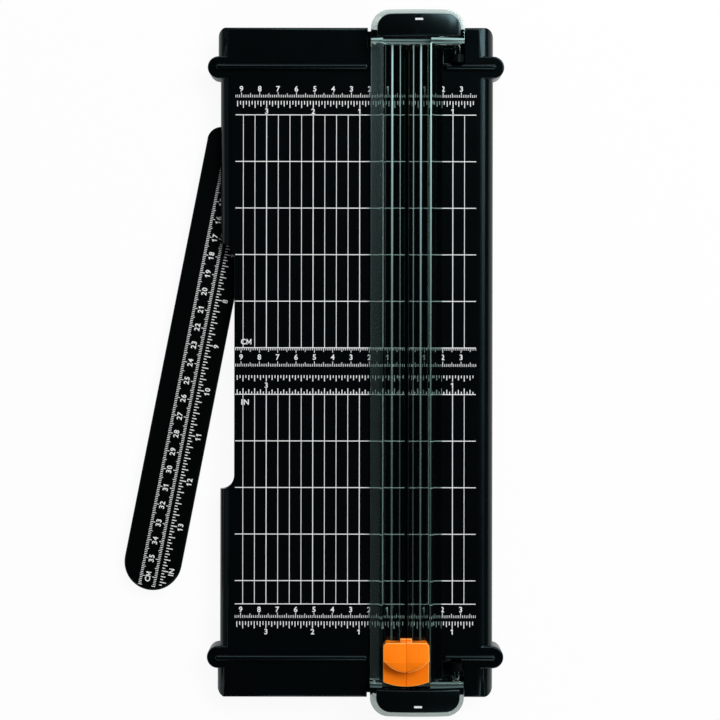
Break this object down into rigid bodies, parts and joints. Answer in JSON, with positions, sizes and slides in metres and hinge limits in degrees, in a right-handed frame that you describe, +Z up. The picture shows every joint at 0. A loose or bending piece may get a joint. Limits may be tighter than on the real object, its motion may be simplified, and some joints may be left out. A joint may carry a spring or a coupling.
{
  "type": "paper trimmer",
  "caption": "Desk paper trimmer: ruled bed with fences, clear hinged cutting rail, sliding thumb carriage with a blade, and a ruler arm that swings out from under the bed.",
  "frame": {"origin": "on the table under the middle of the whole part, with the ruler arm at its rest angle", "axes": "+X to the right across the cut, +Y along the cut towards the rear, +Z up"},
  "size_m": [0.2084, 0.3808, 0.0294],
  "materials": {
    "base_black": "fine satin moulded black",
    "arm_black": "fine satin moulded black",
    "block_black": "moulded black",
    "foot_rubber": "soft dark grey rubber",
    "rail_clear": "clear moulded plastic with a faint green tint",
    "cap_black": "smooth satin black",
    "carriage_orange": "satin moulded orange",
    "blade_steel": "ground steel",
    "screw_steel": "zinc plated",
    "wire_steel": "drawn wire",
    "anchor_steel": "blackened",
    "bush_acetal": "natural acetal"
  },
  "bodies": {
    "base": {"base_shell": "base_black", "foot_rear_left": "foot_rubber", "foot_rear_right": "foot_rubber", "foot_front_left": "foot_rubber", "foot_front_right": "foot_rubber", "hinge_block_rear": "block_black", "hinge_block_front": "block_black", "hinge_screws": "screw_steel", "arm_keeper": "block_black", "keeper_screws": "screw_steel", "pivot_screw": "screw_steel", "pivot_washer": "screw_steel"},
    "rail": {"rail": "rail_clear", "end_cap_rear": "cap_black", "end_cap_front": "cap_black", "cut_line_wire": "wire_steel", "wire_anchor_rear": "anchor_steel", "wire_anchor_front": "anchor_steel"},
    "carriage": {"carriage_left": "carriage_orange", "carriage_right": "carriage_orange", "blade": "blade_steel", "carriage_rivets": "screw_steel"},
    "arm": {"ruler_arm": "arm_black", "arm_bush": "bush_acetal"}
  },
  "joints": [
    {"name": "rail_lift", "type": "hinge", "parent": "base", "child": "rail", "pos_m": [0.07829, 0, 0.0165], "axis": [0, 1, 0], "range_deg": [0, 50]},
    {"name": "carriage_slide", "type": "slide", "parent": "rail", "child": "carriage", "axis": [0, 1, 0], "range_m": [0, 0.3233]},
    {"name": "ruler_swing", "type": "hinge", "parent": "base", "child": "arm", "pos_m": [-0.03761, 0.1484, 0], "axis": [0, 0, -1], "range_deg": [-11.1, 78.9]}
  ]
}
